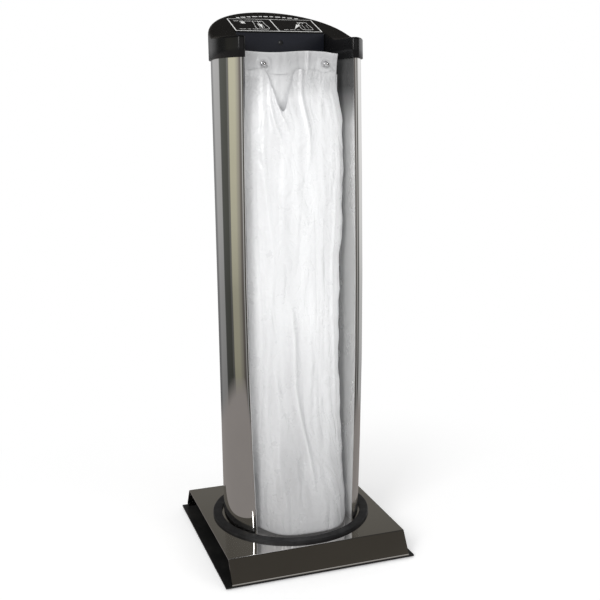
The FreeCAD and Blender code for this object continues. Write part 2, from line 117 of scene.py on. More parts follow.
def spread(points):
    """Springs the front of the sheet column open: sideways by a smooth amount that depends on the
    height, from nothing just behind the axis to the whole amount at the front edges."""
    amount = np.interp(points[..., 2], SPREAD_KNOTS_Z, SPREAD_AT_KNOTS)
    share = smoothstep((SPREAD_FROM_Y - points[..., 1]) / (SPREAD_FROM_Y - front_y))
    moved = points.copy()
    moved[..., 0] += points[..., 0] / front_half_w * amount * share
    return moved


def placed(name, data):
    """A new object in the scene."""
    obj = bpy.data.objects.new(name, data)
    bpy.context.scene.collection.objects.link(obj)
    return obj


def piece_from(name, points, faces, material, body, smooth=True):
    """A mesh object with its place in its vertices, riding on a body."""
    mesh = bpy.data.meshes.new(name)
    mesh.from_pydata(points.reshape(-1, 3).tolist(), [], [list(map(int, face)) for face in faces])
    mesh.update()
    if smooth:
        mesh.shade_smooth()
    obj = placed(name, mesh)
    mesh.materials.append(material)
    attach(obj, body)
    return obj


def grid_faces(rows, columns, close_rows=False, close_columns=False, flip=False):
    """Quads of a grid of points, joined round in either direction where it closes."""
    i = np.arange(rows if close_rows else rows - 1)
    j = np.arange(columns if close_columns else columns - 1)
    i, j = (a.ravel() for a in np.meshgrid(i, j, indexing="ij"))
    i2 = (i + 1) % rows
    j2 = (j + 1) % columns
    quads = np.stack([i * columns + j, i * columns + j2, i2 * columns + j2, i2 * columns + j], axis=1)
    return quads[:, ::-1] if flip else quads


def capped(points, flip=False):
    """Points and faces of closed loops, stacked one after another, with a fan closing each end."""
    loops, count = points.shape[:2]
    faces = grid_faces(loops, count, close_columns=True, flip=flip).tolist()
    ends = np.stack([points[0].mean(axis=0), points[-1].mean(axis=0)])
    first = loops * count
    for k in range(count):
        n = (k + 1) % count
        low = [first, n, k]
        high = [first + 1, (loops - 1) * count + k, (loops - 1) * count + n]
        faces.append(low[::-1] if flip else low)
        faces.append(high[::-1] if flip else high)
    return np.concatenate([points.reshape(-1, 3), ends]), faces


def capped_piece(name, points, material, body, flip=False):
    """A closed piece made of stacked loops."""
    verts, faces = capped(points, flip)
    return piece_from(name, verts, faces, material, body)


def sharpen(obj, degrees=32.0):
    """Keeps edges crisp where the surface turns by more than an angle."""
    bpy.context.view_layer.objects.active = obj
    for other in bpy.context.selected_objects:
        other.select_set(False)
    obj.select_set(True)
    bpy.ops.object.shade_smooth_by_angle(angle=math.radians(degrees))


def turned(name, profile, material, body, count):
    """A closed profile of (radius, height) points turned about the column's axis."""
    angle = np.linspace(0, 2 * np.pi, count, endpoint=False)
    r = profile[:, 0][:, None]
    h = profile[:, 1][:, None] + 0 * angle[None, :]
    points = np.stack([r * np.cos(angle), r * np.sin(angle), h], axis=-1)
    faces = grid_faces(len(profile), count, close_rows=True, close_columns=True)
    return piece_from(name, points, faces, material, body)


# ---------------------------------------------------------------- material building blocks
def maths(tree, operation, a, b=0.0):
    """A math node in a node tree, on two numbers or sockets."""
    node = tree.nodes.new("ShaderNodeMath")
    node.operation = operation
    for socket, value in zip(node.inputs, (a, b)):
        if isinstance(value, (int, float)):
            socket.default_value = value
        else:
            tree.links.new(value, socket)
    return node.outputs["Value"]


def set_inputs(node, **values):
    """Sets a node's inputs by their names, with underscores for the spaces."""
    for key, value in values.items():
        node.inputs[key.replace("_", " ")].default_value = value
    return node


class Finish:
    """A Principled material with short calls for the nodes that its pattern needs."""

    def __init__(self, name, colour, roughness, metallic=0.0, **sockets):
        self.material = bpy.data.materials.new(name)
        self.material.use_nodes = True
        self.nodes = self.material.node_tree.nodes
        self.links = self.material.node_tree.links
        self.shader = self.nodes["Principled BSDF"]
        set_inputs(self.shader, Base_Color=(*colour, 1.0), Roughness=roughness, Metallic=metallic)
        set_inputs(self.shader, **sockets)
        self.place = self.nodes.new("ShaderNodeTexCoord").outputs["Object"]

    def new(self, kind, **values):
        return set_inputs(self.nodes.new(kind), **values)

    def stretched(self, scale):
        """Object coordinates, scaled by a different amount each way."""
        node = self.new("ShaderNodeMapping", Scale=scale)
        self.links.new(self.place, node.inputs["Vector"])
        return node.outputs["Vector"]

    def noise(self, scale, detail=3.0, rough=0.5, stretch=(1.0, 1.0, 1.0), distortion=0.0):
        node = self.new("ShaderNodeTexNoise", Scale=scale, Detail=detail, Roughness=rough,
                        Distortion=distortion)
        self.links.new(self.stretched(stretch), node.inputs["Vector"])
        return node.outputs["Fac"]

    def to_range(self, value, low, high, from_low=0.3, from_high=0.7):
        node = self.new("ShaderNodeMapRange", From_Min=from_low, From_Max=from_high, To_Min=low,
                        To_Max=high)
        self.links.new(value, node.inputs["Value"])
        return node.outputs["Result"]

    def combine(self, operation, a, b):
        return maths(self.material.node_tree, operation, a, b)

    def height(self, value, strength, distance):
        """Bump from a value, stacked on any bump that is already there."""
        node = self.new("ShaderNodeBump", Strength=strength, Distance=distance)
        self.links.new(value, node.inputs["Height"])
        before = self.shader.inputs["Normal"]
        if before.is_linked:
            self.links.new(before.links[0].from_socket, node.inputs["Normal"])
        self.links.new(node.outputs["Normal"], before)

    def between(self, value, dark, light):
        """A colour mixed between two by a value."""
        node = self.nodes.new("ShaderNodeMix")
        node.data_type = "RGBA"
        node.inputs[6].default_value = (*dark, 1.0)
        node.inputs[7].default_value = (*light, 1.0)
        self.links.new(value, node.inputs[0])
        return node.outputs[2]

    def set(self, socket, value):
        self.links.new(value, self.shader.inputs[socket])

    def uneven_gloss(self, low, high, *noise):
        """Roughness that wanders between two values in patches."""
        self.set("Roughness", self.to_range(self.noise(*noise), low, high))

    def uneven_colour(self, dark, light, low, high, *noise):
        """Base colour that goes from dark to light as a noise goes from low to high."""
        share = self.to_range(self.noise(*noise), 0.0, 1.0, low, high)
        self.set("Base Color", self.between(share, dark, light))

    def height_in_piece(self):
        """The z of the point, in metres."""
        node = self.nodes.new("ShaderNodeSeparateXYZ")
        self.links.new(self.place, node.inputs["Vector"])
        return node.outputs["Z"]


def polished_steel(name, tint=(0.80, 0.79, 0.775), haze=0.035, wave=0.0, metallic=1.0, painted_shade_from=None):
    """Mirror-polished sheet: faint haze in patches, fine polishing lines, and a slow waviness. From a
    height of painted_shade_from up its colour is darkened: painted shade under the hood."""
    f = Finish(name, tint, haze, metallic=metallic)
    f.uneven_gloss(haze * 0.6, haze * 2.2, 14.0, 4.0, 0.55, (1.0, 1.0, 0.35))
    worn = f.noise(5.0, 5.0, 0.6)
    darker = tuple(c * 0.93 for c in tint)
    colour = f.between(f.to_range(worn, 0.0, 1.0), darker, tint)
    if painted_shade_from:
        # painted shade: the colour falls to 0.22 of itself over the 7 cm above painted_shade_from
        shade = f.to_range(f.height_in_piece(), 1.0, 0.22, painted_shade_from, painted_shade_from + 0.07)
        painted_shade = f.nodes.new("ShaderNodeVectorMath")
        painted_shade.operation = "SCALE"
        f.links.new(colour, painted_shade.inputs[0])
        f.links.new(shade, painted_shade.inputs["Scale"])
        colour = painted_shade.outputs["Vector"]
    f.set("Base Color", colour)
    lines = f.noise(60.0, 2.0, 0.6, (30.0, 30.0, 0.6))
    f.height(lines, 0.02, 0.0002)
    if wave:
        slow = f.noise(3.2, 1.0, 0.3, (1.0, 1.0, 0.5))
        f.height(slow, wave, 0.02)
    return f.material


def moulded_black(name, colour, roughness, grain=0.10, gloss=0.5):
    """Moulded plastic: a fine grain, faint flow marks, and rub marks that change its gloss."""
    f = Finish(name, colour, roughness, Specular_IOR_Level=gloss)
    f.uneven_gloss(roughness * 0.8, roughness * 1.3, 18.0, 5.0, 0.6)
    lighter = tuple(c * 1.7 + 0.002 for c in colour)
    f.uneven_colour(colour, lighter, 0.3, 0.7, 7.0, 3.0, 0.5, (1.0, 1.0, 2.5))
    f.height(f.noise(2600.0, 2.0, 0.5), grain, 0.0001)
    return f.material


def rubber(name):
    """Black rubber: mottled gloss, dust in its grain."""
    f = Finish(name, (0.012, 0.012, 0.013), 0.5, Specular_IOR_Level=0.4)
    f.uneven_gloss(0.42, 0.66, 40.0, 4.0, 0.6)
    clean, dusty = (0.010, 0.010, 0.011), (0.03, 0.03, 0.03)
    f.uneven_colour(clean, dusty, 0.45, 0.75, 30.0, 6.0, 0.7)
    f.height(f.noise(900.0, 3.0, 0.6), 0.25, 0.0002)
    return f.material


def zinc_plate(name):
    """Zinc-plated fasteners: a cool grey with cloudy spangle and a fine turned texture."""
    f = Finish(name, (0.55, 0.57, 0.60), 0.32, metallic=1.0)
    f.uneven_colour((0.46, 0.48, 0.52), (0.64, 0.65, 0.66), 0.3, 0.7, 160.0, 3.0, 0.6)
    f.uneven_gloss(0.24, 0.42, 220.0, 2.0, 0.5)
    f.height(f.noise(1800.0, 2.0, 0.5), 0.12, 0.0001)
    return f.material


def painted_black(name):
    """Satin black paint with orange peel, and dust that has settled in patches."""
    f = Finish(name, (0.010, 0.010, 0.010), 0.42)
    f.uneven_gloss(0.34, 0.55, 60.0, 4.0, 0.6)
    f.uneven_colour((0.008, 0.008, 0.008), (0.026, 0.025, 0.023), 0.5, 0.8, 26.0, 6.0, 0.7)
    f.height(f.noise(420.0, 2.0, 0.5), 0.10, 0.0003)
    return f.material


def printed_black(name):
    """Laminated print: smooth black with a soft film gloss and tiny scuffs."""
    f = Finish(name, (0.006, 0.006, 0.007), 0.28)
    f.uneven_gloss(0.22, 0.40, 80.0, 5.0, 0.7)
    clean, scuffed = (0.005, 0.005, 0.006), (0.02, 0.02, 0.02)
    f.uneven_colour(clean, scuffed, 0.55, 0.8, 120.0, 6.0, 0.7, (1.0, 4.0, 1.0))
    return f.material


def printed_white(name):
    """White ink, worn thin in specks."""
    f = Finish(name, (0.80, 0.80, 0.78), 0.35)
    thin, whole = (0.62, 0.62, 0.61), (0.86, 0.86, 0.84)
    f.uneven_colour(thin, whole, 0.35, 0.5, 200.0, 5.0, 0.7)
    f.uneven_gloss(0.28, 0.45, 60.0, 3.0, 0.5)
    return f.material


def milky_film(name, grey_foot=0.62, light_top=0.93, gloss=0.30, mouth_shade_grey=1.0, mouth_shade_from=0.80):
    """Thin milky film, many layers deep: whiter above; greyer towards the foot, partly from fewer
    layers and partly as painted reflection of the darker floor; greyer towards the mouth as painted
    shade under the hood; fine upright drawing lines, crinkles that catch light, and slightly bluish
    thin patches."""
    # The faint emission is painted light: a glow standing in for light passed on through the layers.
    f = Finish(name, (0.9, 0.91, 0.92), gloss, Specular_IOR_Level=0.9, Subsurface_Weight=0.5,
               Subsurface_Radius=(1.0, 1.0, 1.0), Subsurface_Scale=0.015,
               Emission_Color=(0.95, 0.97, 1.0, 1.0), Emission_Strength=0.06)
    z = f.height_in_piece()
    # greyer towards the foot: partly fewer layers, partly painted reflection of the darker floor
    above_foot = f.to_range(z, 0.0, 1.0, 0.06, 0.46)
    # painted shade: darker towards the mouth at the top, under the hood
    mouth_painted_shade = f.to_range(z, 1.0, mouth_shade_grey, mouth_shade_from, 0.905)
    up = f.combine("MINIMUM", above_foot, mouth_painted_shade)
    layers = f.noise(9.0, 4.0, 0.6, (1.0, 1.0, 0.16))
    # thick holds the random layers together with the painted shade of the foot and the mouth
    thick = f.combine("ADD", up, f.to_range(layers, -0.34, 0.20))
    foot = (grey_foot, grey_foot, grey_foot * 1.01)
    top = (light_top, light_top * 1.005, light_top * 1.012)
    f.set("Base Color", f.between(thick, foot, top))
    f.uneven_gloss(gloss * 0.7, gloss * 1.6, 30.0, 4.0, 0.6)
    f.height(f.noise(70.0, 3.0, 0.55, (1.6, 1.6, 0.10)), 0.25, 0.003)
    for scale, stretch, depth in ((14.0, (1.6, 1.6, 0.22), 0.012), (34.0, (1.3, 1.3, 0.5), 0.005),
                                  (60.0, (1.0, 1.0, 1.2), 0.002)):
        spread_out = f.combine("SUBTRACT", f.noise(scale, 1.5, 0.5, stretch, distortion=0.8), 0.5)
        f.height(f.combine("ABSOLUTE", spread_out, 0.0), 0.8, depth)
    return f.material


# ---------------------------------------------------------------- column
def arc(centre, r, start, end, count):
    """Points of a circular arc in the plan, angles in degrees."""
    a = np.radians(np.linspace(start, end, count))
    return np.stack([centre[0] + r * np.cos(a), centre[1] + r * np.sin(a)], axis=1)


def shell_outline():
    """Closed plan of the C-shaped sheet: round outside, folded front edges with small bends,
    then back along the inside of the sheet."""
    bend = 1.6 * MM
    edge = math.degrees(math.atan2(front_y, front_half_w))
    tiny = math.degrees(bend / column_r)
    outside = arc((0, 0), column_r, edge + tiny, 180 - edge - tiny, 220)
    fold = np.array([
        [-front_half_w + 0.25 * bend, front_y + 0.10 * bend],
        [-front_half_w + 0.85 * bend, front_y],
        [-front_half_w + front_lip - bend, front_y],
        [-front_half_w + front_lip - 0.3 * bend, front_y + 0.3 * bend],
        [-front_half_w + front_lip, front_y + bend],
        [-front_half_w + front_lip, front_y + lip_return],
        [-front_half_w + front_lip - shell_t, front_y + lip_return],
        [-front_half_w + front_lip - shell_t, front_y + bend],
    ])
    inside = arc((0, 0), column_r - shell_t, 180 - edge - 2 * tiny, edge + 2 * tiny, 220)
    return np.concatenate([outside, fold, inside, fold[::-1] * MIRROR])


def upright(name, outline, z_values, material, flip=False):
    """An outline carried up the column, sprung open at the front like the column itself."""
    z = np.asarray(z_values)[:, None]
    points = np.stack([outline[None, :, 0] + 0 * z, outline[None, :, 1] + 0 * z,
                       z + 0 * outline[None, :, 0]], axis=-1)
    loops, count = points.shape[:2]
    faces = grid_faces(loops, count, close_columns=True, flip=flip).tolist()
    foot = list(range(count))
    top = [(loops - 1) * count + k for k in foot]
    faces.extend([foot, top[::-1]] if flip else [foot[::-1], top])
    return piece_from(name, spread(points), faces, material, "stand")


def recess_outline():
    """Closed plan of the recess sheet: down one side wall, across the back, up the other, with
    round bends, then back along its outside."""
    t = shell_t
    back_x = liner_front_x - recess_taper
    start_y = front_y + 0.5 * MM
    bend = 2.0 * MM

    def path(grow):
        r = bend + grow
        corner_y = recess_back_y + grow
        x = back_x + grow
        side = np.linspace([liner_front_x + grow, start_y], [x, corner_y - r], 24)
        turn = arc((x - r, corner_y - r), r, 3, 87, 8)
        across = np.linspace([x - r, corner_y], [-(x - r), corner_y], 30)
        right = np.concatenate([side, turn])
        return np.concatenate([right, across, right[::-1] * MIRROR])

    return np.concatenate([path(0.0), path(t)[::-1]])


def add_column():
    steel = polished_steel("polished_column_steel", haze=0.022)
    heights = np.linspace(foot_z, column_top, 70)
    shell = upright("column_shell_sheet", shell_outline(), heights, steel)
    sharpen(shell, 40.0)
    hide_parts("column_shell")
    # The recess sheet is lighter and only partly metallic, so the lamps brighten it: painted light
    # standing in for the bright film it reflects. Its top is darkened as painted shade.
    softer = polished_steel("recess_sheet_steel", (0.90, 0.90, 0.895), haze=0.20, metallic=0.65,
                            painted_shade_from=0.79)
    liner = upright("recess_sheet", recess_outline(), heights, softer, flip=True)
    sharpen(liner, 40.0)
    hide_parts("recess_liner")


# ---------------------------------------------------------------- ring and base
def add_ring():
    """Round-edged band: a rectangle with rounded upper edges, turned about the column's axis."""
    ring_width = 17.0 * MM
    inner = ring_high[0] - ring_width
    outer = ring_high[0]
    r = 1.6 * MM
    z0, z1 = ring_low[2], ring_high[2]
    turn = np.radians(np.linspace(0, 90, 7))
    out_corner = np.stack([outer - r + r * np.cos(turn), z1 - r + r * np.sin(turn)], axis=1)
    in_corner = np.stack([inner + r - r * np.sin(turn), z1 - r + r * np.cos(turn)], axis=1)
    profile = np.concatenate([[[outer, z0]], out_corner, in_corner, [[inner, z0]]])
    ring = turned("rubber_ring", profile, rubber("ring_rubber"), "stand", 180)
    sharpen(ring, 50.0)
    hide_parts("base_ring")


def dress_frame():
    """Materials of the pieces whose shape the frame already holds."""
    zinc = zinc_plate("zinc_plated_steel")
    black = painted_black("painted_plate_black")
    foot = rubber("foot_rubber")
    cover = polished_steel("polished_base_steel", (0.76, 0.74, 0.72), haze=0.03, wave=0.10)
    screw = moulded_black("blackened_screw", (0.010, 0.010, 0.011), 0.35)
    chosen = {
        "base_plate": black, "rubber_feet": foot, "base_cover": cover, "panel_screw": screw,
    }
    for name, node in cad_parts.items():
        node.data.materials.clear()
        node.data.materials.append(chosen.get(name, zinc))


# ---------------------------------------------------------------- hood
def desk_height(y):
    """Top of the hood at a depth y: the sloping desk behind, level arms in front, eased together."""
    slope = desk_front_z + desk_slope * (y - desk_front_y)
    ease = 3.0 * MM
    gap = slope - arm_top
    return arm_top + 0.5 * (gap + np.sqrt(gap * gap + ease * ease))


def notch_x(y):
    """Half-width of the notch between the arms at a depth y."""
    wall = hood_wall + hood_to_liner
    share = (y - front_y) / (recess_back_y - front_y)
    return liner_front_x - recess_taper * share - wall


ARM_END_STEPS = 8


def hood_plan():
    """Outer and inner plan of the hood, point by point, from the middle of the left arm's end
    round to the middle of the right arm's end."""
    r = 5.0 * MM
    yf = hood_front_y
    xo = -math.sqrt((hood_r - r) ** 2 - (yf + r) ** 2)
    xi = -(notch_x(yf + r) + r)
    xm = (xo + xi) / 2
    outer_end = np.linspace([xm, yf], [xo, yf], ARM_END_STEPS, endpoint=False)
    inner_end = np.linspace([xm, yf], [xi, yf], ARM_END_STEPS, endpoint=False)
    turn_to = math.degrees(math.atan2(yf + r, xo))
    outer_turn = arc((xo, yf + r), r, -90, turn_to, 12)
    inner_turn = arc((xi, yf + r), r, -90, 0, 12)
    start_out = outer_turn[-1][1]
    start_in = inner_turn[-1][1]
    k = np.linspace(0, 1, 50)[1:]
    y_out = start_out + (desk_front_y - start_out) * k
    y_in = start_in + (desk_front_y - start_in) * k
    outer_arm = np.stack([-np.sqrt(hood_r ** 2 - y_out ** 2), y_out], axis=1)
    inner_arm = np.stack([-notch_x(y_in), y_in], axis=1)
    left_angle = 180 - math.degrees(math.asin(desk_front_y / hood_r))
    half = 70
    outer_back = arc((0, 0), hood_r, left_angle, 90, half + 1)[1:]
    inner_back = np.linspace([-notch_x(desk_front_y), desk_front_y], [0, desk_front_y], half + 1)[1:]
    outer = np.concatenate([outer_end, outer_turn, outer_arm, outer_back])
    inner = np.concatenate([inner_end, inner_turn, inner_arm, inner_back])
    return (np.concatenate([outer, outer[:-1][::-1] * MIRROR]),
            np.concatenate([inner, inner[:-1][::-1] * MIRROR]))


def inward(plan):
    """Unit normals of a plan line, turned to its left as it runs, from central differences."""
    along = np.gradient(plan, axis=0)
    along /= np.maximum(np.linalg.norm(along, axis=1, keepdims=True), 1e-12)
    return np.stack([-along[:, 1], along[:, 0]], axis=1)


def rounded_side(plan, normal, r, rows):
    """Wall from the skirt's foot up to the top, rounded over by r: row k sits at an angle a from
    level, moved inward by r (1 - cos a) and down from the top by r (1 - sin a)."""
    out = []
    wall_top = desk_height(plan[:, 1]) - r
    for share in (0.0, 0.5, 1.0):
        z = skirt_z + (wall_top - skirt_z) * share
        out.append(np.column_stack([plan, z]))
    for a in np.radians(np.linspace(0, 90, rows))[1:]:
        moved = plan + normal * (r * (1 - math.cos(a)))[:, None]
        z = desk_height(moved[:, 1]) - r * (1 - math.sin(a))
        out.append(np.column_stack([moved, z]))
    return out


def add_hood():
    """One moulded skin over the arms and the desk: walls, rounded rims and the top between them,
    ruled from the outer rim to the inner one, then given its wall."""
    outer, inner = hood_plan()
    out_normal = -inward(outer)
    in_normal = inward(inner)
    for normal in (out_normal, in_normal):
        normal[:ARM_END_STEPS + 1] = normal[-ARM_END_STEPS - 1:] = (0.0, 1.0)
    arm_rim_r, desk_rim_r, notch_rim_r = 4.0 * MM, 10.0 * MM, 1.8 * MM
    out_r = arm_rim_r + (desk_rim_r - arm_rim_r) * smoothstep((outer[:, 1] + 0.03) / 0.05)
    past_tip = smoothstep((outer[:, 1] - hood_front_y) / (6.0 * MM))
    in_r = arm_rim_r + (notch_rim_r - arm_rim_r) * past_tip
    rows = rounded_side(outer, out_normal, out_r, 9)
    inner_rows = rounded_side(inner, in_normal, in_r, 9)
    low, high = rows[-1], inner_rows[-1]
    for share in np.linspace(0, 1, 2 * ARM_END_STEPS + 1)[1:-1]:
        line = low[:, :2] + (high[:, :2] - low[:, :2]) * share
        rows.append(np.column_stack([line, desk_height(line[:, 1])]))
    rows.extend(inner_rows[::-1])
    points = spread(np.stack(rows))
    faces = grid_faces(points.shape[0], points.shape[1])
    plastic = moulded_black("hood_black_plastic", (0.0025, 0.0025, 0.0028), 0.26, gloss=0.3)
    hood = piece_from("hood_shell", points, faces, plastic, "stand")
    weld(hood, 0.1 * MM)
    wall = hood.modifiers.new("wall", "SOLIDIFY")
    wall.thickness = hood_wall
    wall.offset = -1.0
    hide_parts("cap_hood")


SLIVER_AREA = 2e-9


def weld(obj, distance=0.02 * MM):
    """Joins points that coincide, drops faces left with no area, and turns the rest outward."""
    bm = bmesh.new()
    bm.from_mesh(obj.data)
    bmesh.ops.remove_doubles(bm, verts=bm.verts, dist=distance)
    bmesh.ops.delete(bm, geom=[f for f in bm.faces if f.calc_area() < SLIVER_AREA], context="FACES")
    bmesh.ops.remove_doubles(bm, verts=bm.verts, dist=distance)
    bmesh.ops.recalc_face_normals(bm, faces=bm.faces)
    bm.to_mesh(obj.data)
    bm.free()
    obj.data.shade_smooth()


def rounded_plate(name, half_x, z0, z1, y0, y1, corner, edge, material):
    """Flat plate facing -Y: a rounded rectangle, drawn in by edge (1 - sin a) at each face."""
    def loop(inset):
        hx = half_x - inset
        top, low = z1 - inset, z0 + inset
        r = corner - inset
        parts = []
        for sx, z, start in ((1, top - r, 0), (-1, top - r, 90), (-1, low + r, 180), (1, low + r, 270)):
            parts.append(arc((sx * (hx - r), z), r, start, start + 90, 6))
        return np.concatenate(parts)

    turn = np.radians(np.linspace(0, 90, 5))
    rounding = [(edge * (1 - math.sin(a)), edge * (1 - math.cos(a))) for a in turn]
    insets = [(inset, y0 + depth) for inset, depth in rounding]
    insets += [(inset, y1 - depth) for inset, depth in rounding[::-1]]
    points = []
    for inset, y in insets:
        x, z = loop(inset).T
        points.append(np.column_stack([x, np.full(len(x), y), z]))
    return capped_piece(name, np.stack(points), material, "stand", flip=True)


def add_front_panel():
    plastic = moulded_black("panel_blue_black", (0.007, 0.008, 0.0125), 0.34, grain=0.06, gloss=0.35)
    panel = rounded_plate("front_panel_plate", panel_high[0], panel_low[2], panel_high[2],
                          panel_low[1], panel_high[1], corner=1.2 * MM, edge=0.6 * MM,
                          material=plastic)
    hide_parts("front_panel")


# ---------------------------------------------------------------- label
def on_desk(u, v, lift):
    """Point on the sloping desk: u metres across, v metres back from its front edge in plan."""
    y = desk_front_y + v
    tilt = 1 / math.sqrt(1 + desk_slope ** 2)
    z = desk_front_z + desk_slope * v
    return np.stack([u, y - desk_slope * tilt * lift + 0 * u, z + tilt * lift + 0 * u], axis=-1)


def raised(name, outlines, base, thickness, material):
    """Flat marks on the desk: each outline of (across, back) points becomes a thin slab."""
    verts = []
    faces = []
    for outline in outlines:
        outline = np.asarray(outline, float)
        u, v = outline[:, 0], outline[:, 1]
        area = np.sum(u * np.roll(v, -1) - np.roll(u, -1) * v)
        if area < 0:
            u, v = u[::-1], v[::-1]
        n = len(u)
        first = len(verts)
        verts.extend(on_desk(u, v, base).tolist())
        verts.extend(on_desk(u, v, base + thickness).tolist())
        faces.append([first + k for k in range(n)][::-1])
        faces.append([first + n + k for k in range(n)])
        for k in range(n):
            m = (k + 1) % n
            faces.append([first + k, first + m, first + n + m, first + n + k])
    return piece_from(name, np.array(verts), faces, material, "stand", smooth=False)


def strip(points, width):
    """Outline of a line of a given width through points: the line moved half a width each way."""
    points = np.asarray(points, float)
    normal = inward(points)
    return np.concatenate([points + normal * width / 2, (points - normal * width / 2)[::-1]])


def curve(points, count=24):
    """Smooth line through a few points: Catmull-Rom pieces."""
    p = np.asarray(points, float)
    p = np.concatenate([[2 * p[0] - p[1]], p, [2 * p[-1] - p[-2]]])
    t = np.linspace(0, 1, count, endpoint=False)[:, None]
    parts = []
    for a, b, c, d in zip(p[:-3], p[1:-2], p[2:-1], p[3:]):
        parts.append(0.5 * (2 * b + (c - a) * t + (2 * a - 5 * b + 4 * c - d) * t ** 2
                            + (3 * b - a - 3 * c + d) * t ** 3))
    return np.concatenate(parts + [p[-2][None, :]])


def umbrella_marks(at, turn, size):
    """A closed umbrella, tip down: a long slim canopy, two seams, a shaft and a hook."""
    side = [(-0.015, 0.0), (-0.06, 0.25), (-0.105, 0.58)]
    hem = [(-0.05, 0.555), (0.0, 0.60), (0.05, 0.555)]
    canopy = np.array(side + hem + [(-x, y) for x, y in side[::-1]])
    tip = strip([(0, -0.10), (0, 0.02)], 0.03)
    shaft = strip([(0, 0.58), (0, 0.86)], 0.03)
    hook = strip(curve([(0, 0.84), (0.02, 0.95), (0.09, 0.98), (0.14, 0.92), (0.14, 0.86)], 6), 0.03)
    c, s = math.cos(turn), math.sin(turn)
    rotate = np.array([[c, s], [-s, c]])
    return [np.array(at) + size * (part @ rotate) for part in (canopy, tip, shaft, hook)]


def bag_marks(at, width, height):
    """A hanging bag: an upright outline, wider at the foot, drawn as a line."""
    loop = curve([(-0.40, 1.0), (-0.42, 0.6), (-0.50, 0.25), (-0.44, 0.0), (0.0, -0.04), (0.44, 0.0),
                  (0.50, 0.25), (0.42, 0.6), (0.40, 1.0)], 6)
    rim = strip([(-0.42, 1.0), (0.42, 1.0)], 0.03)
    scale = np.array([width, height])
    fold_a = strip([(-0.18, 0.12), (-0.15, 0.72)], 0.025)
    fold_b = strip([(0.16, 0.15), (0.18, 0.60)], 0.025)
    body = strip(loop, 0.035)
    return [np.array(at) + part * scale for part in (body, rim, fold_a, fold_b)]


def hand_marks(at, size):
    """A simple hand that reaches down: a sleeve, a palm and four short fingers."""
    palm = np.array([(-0.42, 0.75), (0.42, 0.75), (0.48, 0.1), (-0.48, 0.1)])
    sleeve = strip([(-0.62, 1.0), (0.62, 1.0)], 0.22)
    fingers = []
    for x in (-0.38, -0.13, 0.13, 0.38):
        fingers.append(strip([(x, 0.12), (x * 1.15, -0.55 + abs(x) * 0.6)], 0.17))
    return [np.array(at) + size * part for part in [palm, sleeve] + fingers]


def dashes(start, lengths, gap, width, bow=0.0):
    """A row of short plain bars in place of lettering, rising by bow towards its middle."""
    total = sum(lengths) + gap * (len(lengths) - 1)
    x = start[0]
    rows = []
    for length in lengths:
        middle = (x + length / 2 - start[0]) / total - 0.5
        v = start[1] + bow * (1 - 4 * middle * middle)
        rows.append(strip([(x, v), (x + length, v)], width))
        x += length + gap
    return rows


def add_label():
    """Black laminated plate with a white frame, a divider, and plain pictograms."""
    black = printed_black("label_black_print")
    white = printed_white("label_white_print")
    half = label_high[0]
    front = label_low[1] - desk_front_y + 0.2 * MM
    arc_r = label_high[1]
    edge = np.linspace(0, 1, 60)
    corner_y = math.sqrt(arc_r ** 2 - half ** 2)
    start = math.atan2(corner_y, half)
    angles = start + (math.pi - 2 * start) * edge
    rim = np.stack([arc_r * np.cos(angles), arc_r * np.sin(angles) - desk_front_y], axis=1)
    plate = np.concatenate([[[-half, front], [half, front]], rim])
    sheet_lift, sheet_t, ink_t = 0.05 * MM, 0.5 * MM, 0.08 * MM
    ink_lift = sheet_lift + sheet_t
    base = raised("label_sheet", [plate], sheet_lift, sheet_t, black)
    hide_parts("label_plate")

    inset = 1.6 * MM
    line = 2.0 * MM
    x = half - inset
    low = front + inset
    top = 65.0 * MM
    lines = [
        strip([(-x, low), (x, low)], line),
        strip([(-x, low), (-x, top)], line),
        strip([(x, low), (x, top)], line),
        strip([(0, low), (0, top)], line * 0.9),
        strip([(-x, top), (x, top)], line * 0.55),
    ]
    raised("label_frame_lines", lines, ink_lift, ink_t, white)

    # each mark: its place across and back from the desk's front edge, then its size, in metres
    marks = []
    marks += hand_marks((-0.057, 0.043), 0.008)
    marks += dashes((-0.073, 0.054), [0.010, 0.006, 0.012], 0.003, 0.0012)
    marks += bag_marks((-0.027, 0.014), 0.024, 0.040)
    marks += umbrella_marks((-0.027, 0.020), 0.0, 0.034)
    marks += umbrella_marks((0.036, 0.020), math.radians(-32), 0.038)
    marks += bag_marks((0.058, 0.014), 0.022, 0.037)
    marks += dashes((0.012, 0.012), [0.008, 0.010, 0.005], 0.003, 0.0011)
    marks += dashes((-0.072, 0.012), [0.012, 0.006, 0.010], 0.003, 0.0011)
    raised("label_pictograms", marks, ink_lift, ink_t, white)
    bars = [0.006, 0.009, 0.007, 0.010, 0.006, 0.008, 0.007, 0.010, 0.006, 0.009, 0.007]
    title = dashes((-0.062, 0.0705), bars, 0.0035, 0.0036, bow=0.010)
    raised("label_title_bars", title, ink_lift, ink_t, white)


